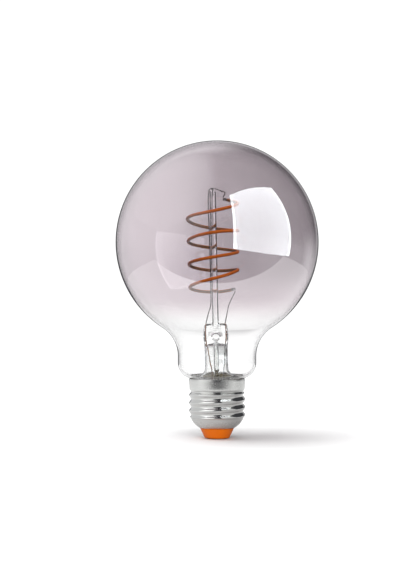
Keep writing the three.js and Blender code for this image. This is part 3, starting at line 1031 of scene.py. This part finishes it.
def weighed(tree, first, first_weight, second, second_weight):
    """The sum of two values, each times its weight."""
    first = product(tree, first, first_weight)
    return maths(tree, "ADD", first, product(tree, second, second_weight))


def room_seen(tree, split):
    """What reflections show: white behind, at the left and low at the right, dark elsewhere.

    A direction is a unit vector: across to the right, ahead of the camera, and up.
    """
    across, ahead, up = (split.outputs[axis] for axis in "XYZ")
    backdrop = share(tree, ahead, 0.2, 0.6)
    far_end = share(tree, ahead, 0.96, 0.88)
    left = product(
        tree, share(tree, weighed(tree, across, -1, up, 0.5), 0.1, 1.0),
        share(tree, across, 0.12, -0.2),
    )
    low_right = product(tree, share(tree, across, 0.5, 0.9, 0, 0.45), share(tree, up, 0.25, -0.1))
    high_right = product(
        tree, share(tree, weighed(tree, across, 1, up, 0.3), 0.15, 0.5),
        share(tree, up, -0.1, 0.2), share(tree, ahead, 0.92, 0.8),
    )
    sides = maths(tree, "MAXIMUM", left, low_right)
    white = product(
        tree, maths(tree, "MAXIMUM", backdrop, sides), far_end, opposite(tree, high_right),
    )
    return mixed(tree, white, (0.055, 0.055, 0.06), (0.74, 0.74, 0.75))


def backdrop_seen(tree, split):
    """What glass lets through: bright panels square to the bulb with dark gaps between them.

    The gaps give glass its dark edges. The panels are dimmer high up on the right.
    """
    across, ahead, up = (maths(tree, "ABSOLUTE", split.outputs[axis]) for axis in "XYZ")
    larger = maths(tree, "MAXIMUM", across, ahead)
    smaller = maths(tree, "MINIMUM", across, ahead)
    upward = maths(tree, "MINIMUM", larger, product(tree, up, 0.8))
    panel = share(tree, maths(tree, "MAXIMUM", smaller, upward), 0.47, 0.42)
    below = share(tree, split.outputs["Z"], -0.13, -0.19)
    white = maths(tree, "MAXIMUM", panel, below)
    sideways = share(tree, split.outputs["X"], -0.12, 0.12, BRIGHT_PANEL, DIM_PANEL)
    lift = share(tree, split.outputs["Z"], 0.0, 0.07)
    dimming = product(tree, lift, maths(tree, "SUBTRACT", sideways, BRIGHT_PANEL))
    level = product(tree, white, maths(tree, "ADD", dimming, BRIGHT_PANEL))
    level = maths(tree, "MAXIMUM", level, DARK_GAP)
    inputs = {"Red": level, "Green": level, "Blue": level}
    return add_node(tree, "ShaderNodeCombineColor", inputs).outputs["Color"]


def make_world():
    """White to the camera, with its own light for reflections and for what glass lets through."""
    world = bpy.data.worlds.new("studio")
    bpy.context.scene.world = world
    world.use_nodes = True
    tree = world.node_tree
    direction = add_node(tree, "ShaderNodeTexCoord").outputs["Generated"]
    split = add_node(tree, "ShaderNodeSeparateXYZ", {"Vector": direction})
    path = add_node(tree, "ShaderNodeLightPath")
    # The world counts one ray more than a surface does.
    only_glass = maths(tree, "LESS_THAN", bounces(tree, path), 1.5)
    through = product(tree, only_glass, path.outputs["Is Transmission Ray"])
    colour = mixed(tree, through, room_seen(tree, split), backdrop_seen(tree, split))
    colour = mixed(tree, path.outputs["Is Camera Ray"], colour, grey(CAMERA_WHITE))
    tree.links.new(colour, tree.nodes["Background"].inputs["Color"])


def glow(name, colour, low, high):
    """Adds light for reflections, from low at its foot to high, and the camera sees none of it.

    It isn't sampled as a lamp, so only rays that meet it by chance are lit by it.
    """
    material = bpy.data.materials.new(name)
    material.use_nodes = True
    material.cycles.emission_sampling = "NONE"
    tree = material.node_tree
    tree.nodes.remove(tree.nodes["Principled BSDF"])
    height = axis_of(tree, position(tree), "Z")
    radiance = share(tree, height, GLOW_LOW * MM, GLOW_HIGH * MM, low, high)
    strength = product(tree, after_a_bounce(tree), radiance)
    light = add_node(tree, "ShaderNodeEmission", {"Color": (*colour, 1), "Strength": strength})
    clear = add_node(tree, "ShaderNodeBsdfTransparent")
    both = tree.nodes.new("ShaderNodeAddShader")
    tree.links.new(clear.outputs["BSDF"], both.inputs[0])
    tree.links.new(light.outputs["Emission"], both.inputs[1])
    tree.links.new(both.outputs["Shader"], tree.nodes["Material Output"].inputs["Surface"])
    return material


def linking(name, members, state):
    """A light-linking collection with its members in or out of it."""
    made = bpy.data.collections.new(name)
    for member in members:
        made.objects.link(member)
    for entry in made.collection_objects:
        entry.light_linking.link_state = state
    return made


def make_card(name, azimuth, half, low, high, material, globe, state):
    """An upright glowing card that faces the bulb; the globe is in or out of its light."""
    turn = math.radians(azimuth)
    across = Vector((math.cos(turn), math.sin(turn), 0)) * half
    centre = Vector((math.sin(turn), -math.cos(turn), 0)) * CARD_DISTANCE
    corners = [
        centre + across * side + Vector((0, 0, height))
        for side, height in ((-1, low), (1, low), (1, high), (-1, high))
    ]
    card = linked(name, mesh_of(name, (corners, [[0, 1, 2, 3]])))
    card.data.materials.append(material)
    card.light_linking.receiver_collection = linking(f"{name}_lit", [globe], state)


def make_cards(globe):
    """A strong softbox for the globe alone, and two weak tall cards for all the rest."""
    softbox = glow("softbox_glow", (0.92, 0.98, 1.0), SOFTBOX_RADIANCE, SOFTBOX_RADIANCE)
    make_card(
        "softbox", CARD_AZIMUTH, SOFTBOX_HALF, SOFTBOX_LOW, SOFTBOX_HIGH, softbox, globe,
        "INCLUDE",
    )
    weak = glow("card_glow", (1.0, 1.0, 0.98), *WEAK_CARD_RADIANCE)
    for name, azimuth in (("left_card", -CARD_AZIMUTH), ("right_card", CARD_AZIMUTH)):
        make_card(
            name, azimuth, WEAK_CARD_HALF, WEAK_CARD_LOW, WEAK_CARD_HIGH, weak, globe, "EXCLUDE",
        )


def make_sun(name, energy, spread, turn):
    """A soft light that glass and metal don't mirror."""
    data = bpy.data.lights.new(name, "SUN")
    data.energy = energy
    data.angle = math.radians(spread)
    light = linked(name, data)
    light.rotation_euler = [math.radians(angle) for angle in turn]
    light.visible_glossy = False
    light.visible_transmission = False
    return light


def table_material():
    """White, and greyer to light that has met a surface, so that reflections keep their tone."""
    material, tree, shader = new_material("table", {"Roughness": 0.6, "Specular IOR Level": 0.2})
    white = mottled(tree, noise(tree, position(tree), 25), grey(0.73), grey(0.75))
    colour = mixed(tree, after_a_bounce(tree), white, grey(0.5))
    tree.links.new(colour, shader.inputs["Base Color"])
    return material


def make_table():
    corners = [
        (TABLE_LEFT, TABLE_NEAR, 0), (TABLE_RIGHT, TABLE_NEAR, 0),
        (TABLE_RIGHT, TABLE_FAR, 0), (TABLE_LEFT, TABLE_FAR, 0),
    ]
    table = linked("floor", mesh_of("floor", (corners, [[0, 1, 2, 3]])))
    table.data.materials.append(table_material())


def make_studio(globe):
    """The front light shines through the globe as if it weren't there."""
    make_world()
    make_cards(globe)
    make_sun("left_light", *LEFT_LIGHT)
    front = make_sun("front_light", *FRONT_LIGHT)
    front.light_linking.blocker_collection = linking("front_light_blockers", [globe], "EXCLUDE")
    make_table()
    scene = bpy.context.scene
    scene.view_settings.view_transform = "Standard"
    scene.view_settings.look = "None"
    scene.cycles.max_bounces = GLASS_BOUNCES
    scene.cycles.transmission_bounces = GLASS_BOUNCES
    scene.cycles.transparent_max_bounces = TRANSPARENT_BOUNCES
    scene.cycles.caustics_refractive = False


# ---------------------------------------------------------------- the bulb

make_camera()
glass_globe = make_globe()
make_studio(glass_globe)
make_screw_shell()
make_insulator()
make_contact()
make_cement()
make_stem()
make_filament()
lead_metal = plain_metal("lead_nickel", (0.2, 0.19, 0.19), (0.32, 0.31, 0.3), 0.32)
seal_copper = plain_metal("seal_copper", (0.3, 0.14, 0.08), (0.45, 0.23, 0.14), 0.4)
make_crimps(lead_metal)
make_hooks(lead_metal)
make_leads(lead_metal, seal_copper)
finish_driver()
